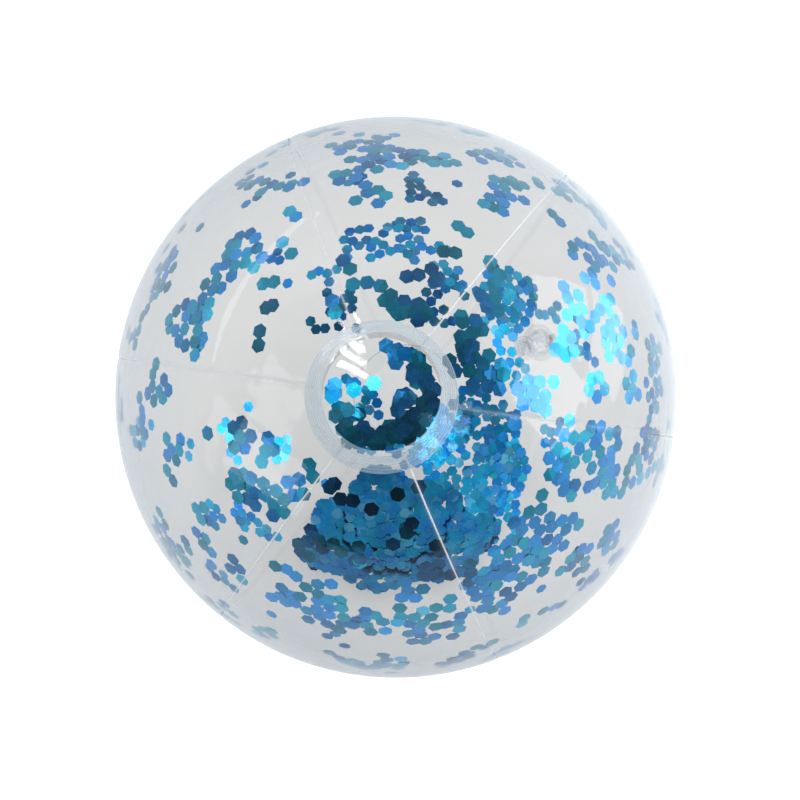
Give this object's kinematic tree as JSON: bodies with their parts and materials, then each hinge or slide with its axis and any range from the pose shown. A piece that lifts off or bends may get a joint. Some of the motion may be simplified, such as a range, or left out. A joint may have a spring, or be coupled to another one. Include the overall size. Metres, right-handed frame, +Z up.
{
  "type": "inflatable beach ball",
  "caption": "Clear inflatable beach ball with welded gores, round end caps, a pull-out valve and loose blue foil confetti inside.",
  "frame": {"origin": "the ball's centre, as the middle of its bounding box", "axes": "+Z up as the ball lies on the ground on its flattened foot; +X to the right and +Y away from a viewer who faces the front cap, towards whom the polar axis leans 36.8 degrees from +Z"},
  "size_m": [0.2798, 0.2794, 0.2789],
  "materials": {
    "clear_film": "clear glossy soft vinyl film",
    "welded_film": "clear glossy vinyl with fine raised weld lines",
    "valve_vinyl": "translucent moulded soft vinyl",
    "foil_flake": "metallised blue foil"
  },
  "bodies": {
    "ball": {"gore_1": "clear_film", "gore_2": "clear_film", "gore_3": "clear_film", "gore_4": "clear_film", "gore_5": "clear_film", "gore_6": "clear_film", "cap_front": "welded_film", "cap_rear": "welded_film", "valve_flange": "valve_vinyl", "flake_01": "foil_flake", "flake_02": "foil_flake", "flake_03": "foil_flake", "flake_04": "foil_flake", "flake_05": "foil_flake", "flake_06": "foil_flake", "flake_07": "foil_flake", "flake_08": "foil_flake", "flake_09": "foil_flake", "flake_10": "foil_flake", "flake_11": "foil_flake", "flake_12": "foil_flake", "flake_13": "foil_flake", "flake_14": "foil_flake", "flake_15": "foil_flake", "flake_16": "foil_flake", "flake_17": "foil_flake", "flake_18": "foil_flake", "flake_19": "foil_flake", "flake_20": "foil_flake", "flake_21": "foil_flake", "flake_22": "foil_flake", "flake_23": "foil_flake", "flake_24": "foil_flake", "flake_25": "foil_flake", "flake_26": "foil_flake", "flake_27": "foil_flake", "flake_28": "foil_flake", "flake_29": "foil_flake", "flake_30": "foil_flake", "flake_31": "foil_flake", "flake_32": "foil_flake", "flake_33": "foil_flake", "flake_34": "foil_flake", "flake_35": "foil_flake", "flake_36": "foil_flake"},
    "mouthpiece": {"valve_stem": "valve_vinyl"},
    "plug": {"valve_plug": "valve_vinyl"},
    "flap": {"valve_flap": "valve_vinyl"},
    "bed": {"confetti_bed": "foil_flake"},
    "heap": {"confetti_heap": "foil_flake"}
  },
  "joints": [
    {"name": "mouthpiece_slide", "type": "slide", "parent": "ball", "child": "mouthpiece", "axis": [0.6051, 0.6405, -0.4729], "range_m": [0, 0.012]},
    {"name": "plug_hinge", "type": "hinge", "parent": "mouthpiece", "child": "plug", "pos_m": [0.09243, 0.08978, -0.06104], "axis": [0.3726, -0.7527, -0.5428], "range_deg": [0, 175]},
    {"name": "flap_hinge", "type": "hinge", "parent": "mouthpiece", "child": "flap", "pos_m": [0.07743, 0.07677, -0.0533], "axis": [0.3726, -0.7527, -0.5428], "range_deg": [-70, 0], "stiffness_Nm_per_rad": 0.0001},
    {"name": "bed_slosh", "type": "hinge", "parent": "ball", "child": "bed", "pos_m": [0, 0, 0], "axis": [0, 1, 0], "continuous": true},
    {"name": "heap_slosh", "type": "hinge", "parent": "bed", "child": "heap", "pos_m": [0, 0, 0], "axis": [1, 0, 0], "range_deg": [-8, 8]}
  ]
}
